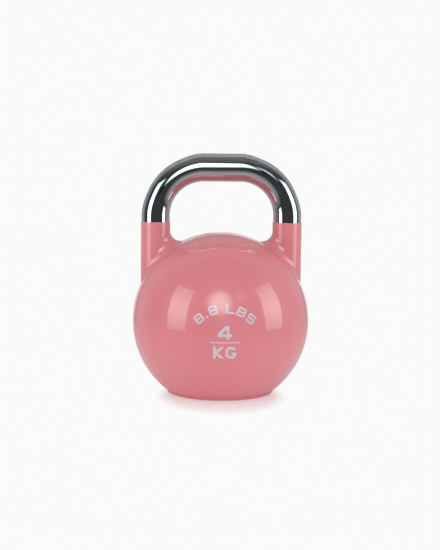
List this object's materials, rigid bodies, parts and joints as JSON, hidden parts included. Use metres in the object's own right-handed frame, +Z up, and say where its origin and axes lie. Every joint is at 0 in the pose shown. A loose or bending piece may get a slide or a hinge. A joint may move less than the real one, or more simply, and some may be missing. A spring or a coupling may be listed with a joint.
{
  "type": "competition kettlebell",
  "caption": "4 kg kettlebell with a hollow pink ball on a small flat base and a chromed tube handle, for one- or two-handed swings, presses and carries.",
  "frame": {"origin": "on the floor, under the centre of the flat base", "axes": "+Z up, X along the bar of the handle, -Y towards the front of the ball, which carries the weight marking"},
  "size_m": [0.207, 0.207, 0.28],
  "materials": {
    "ball_paint": "gloss",
    "handle_chrome": "polished",
    "bare_steel": "satin",
    "cast_ballast": "matte",
    "fibre_seal": "matte",
    "marking_ink": "satin"
  },
  "bodies": {
    "root": {"handle_tube": "handle_chrome", "left_horn": "ball_paint", "right_horn": "ball_paint", "left_horn_weld": "ball_paint", "right_horn_weld": "ball_paint", "left_spigot": "bare_steel", "right_spigot": "bare_steel", "upper_shell": "ball_paint", "lower_shell": "ball_paint", "equator_weld": "ball_paint", "backing_ring": "bare_steel", "base_plate": "ball_paint", "base_weld": "ball_paint", "filler_boss": "bare_steel", "filler_plug": "bare_steel", "plug_seal": "fibre_seal", "ballast_ring": "cast_ballast"}
  },
  "joints": []
}
